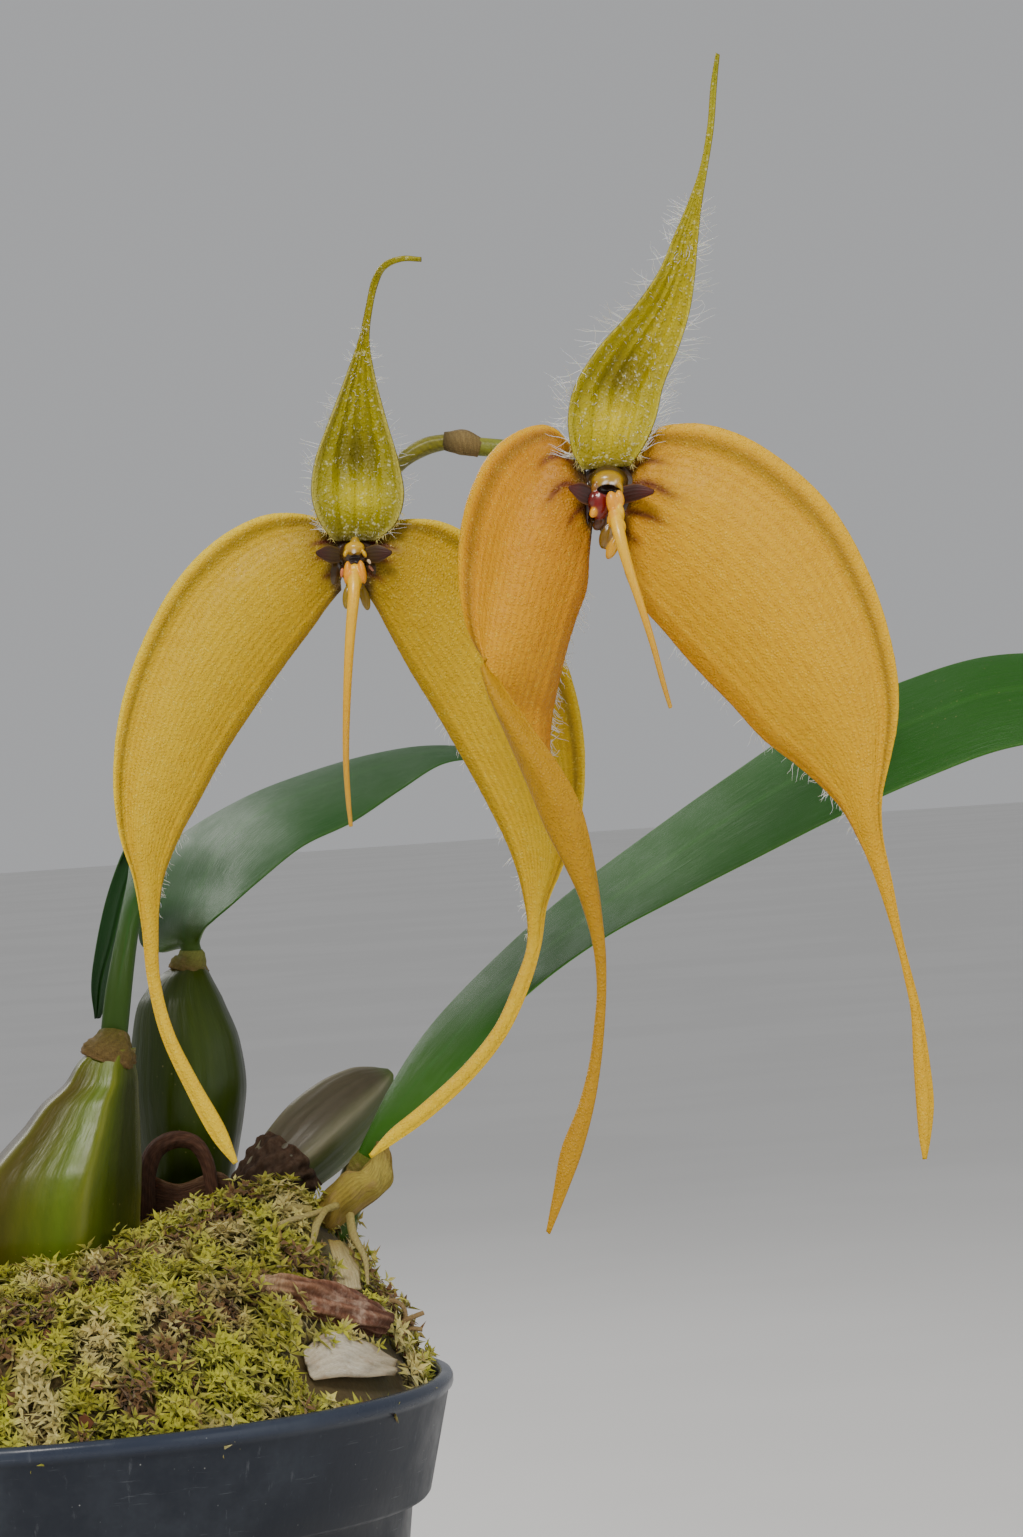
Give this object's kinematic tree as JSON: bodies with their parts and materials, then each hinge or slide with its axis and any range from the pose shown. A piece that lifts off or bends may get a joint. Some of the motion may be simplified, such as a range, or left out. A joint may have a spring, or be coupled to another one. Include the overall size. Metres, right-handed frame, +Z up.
{
  "type": "potted bulbophyllum orchid",
  "caption": "Bulbophyllum orchid with large drooping yellow flowers on thin stalks, ribbed pseudobulbs and strap leaves, growing in moss in a round dark nursery pot.",
  "frame": {"origin": "centre of the pot's flat base", "axes": "+Z up; the flowers face -Y; the long leaf reaches towards +X"},
  "size_m": [0.2825, 0.1524, 0.303],
  "materials": {
    "pot_plastic": "moulded blue-black plastic, dusty and scuffed, with a worn glossy rim",
    "sphagnum_moss": "soft moss in yellow-green and straw, with brown bits",
    "rhizome_brown": "rough brown stem with dry scales",
    "bulb_green": "glossy ribbed skin, yellow-green in the middle and olive to the sides",
    "bulb_dark_green": "smooth waxy skin, dark olive green",
    "bulb_grey_brown": "dull ageing skin, grey-brown with green streaks",
    "leaf_green": "smooth waxy leaf, dark green with a paler midrib",
    "dry_papery": "dry papery sheath with fine veins, cream to tan",
    "dry_brown": "dry brown fibrous sheath",
    "bark_chip": "flaking bark, pink-brown with cream patches",
    "dry_pale": "bleached dead leaf, almost white",
    "stalk_green": "smooth green stalk with fine brown specks",
    "ovary_olive": "olive-brown stalk with shallow grooves",
    "sepal_olive": "ribbed olive sepal covered in fine glassy papillae, with white hairs on its margins",
    "sepal_gold": "olive-gold sepal, finely pimpled and veined, with darker incurved margins",
    "sepal_orange": "orange-yellow sepal, finely pimpled and veined, with darker incurved margins",
    "column_maroon": "glossy dark maroon with yellow at the foot",
    "lip_yellow": "waxy yellow tongue with an orange callus",
    "petal_maroon": "small velvety dark maroon petal with a pale fringe"
  },
  "bodies": {
    "root": {"nursery_pot": "pot_plastic", "sphagnum_bed": "sphagnum_moss", "rhizome": "rhizome_brown", "pseudobulb_front": "bulb_green", "pseudobulb_back": "bulb_dark_green", "pseudobulb_old": "bulb_grey_brown", "pseudobulb_new": "bulb_green", "leaf_left": "leaf_green", "leaf_back": "leaf_green", "leaf_right": "leaf_green", "papery_bract": "dry_papery", "hanging_sheath": "dry_pale", "basal_sheath": "dry_brown", "dead_leaf_scrap": "dry_pale", "old_flower_stalk": "dry_brown", "bark_chip": "bark_chip", "dry_rootlets": "dry_papery", "peduncle_left": "stalk_green", "peduncle_right": "stalk_green", "floral_bract_left": "dry_papery", "floral_bract_right": "dry_papery", "ovary_left": "ovary_olive", "ovary_right": "ovary_olive", "left_flower_dorsal_sepal": "sepal_olive", "left_flower_left_sepal": "sepal_gold", "left_flower_right_sepal": "sepal_gold", "left_flower_left_petal": "petal_maroon", "left_flower_right_petal": "petal_maroon", "left_flower_column": "column_maroon", "left_flower_lip": "lip_yellow", "right_flower_dorsal_sepal": "sepal_olive", "right_flower_left_sepal": "sepal_orange", "right_flower_right_sepal": "sepal_orange", "right_flower_left_petal": "petal_maroon", "right_flower_right_petal": "petal_maroon", "right_flower_column": "column_maroon", "right_flower_lip": "lip_yellow"}
  },
  "joints": []
}
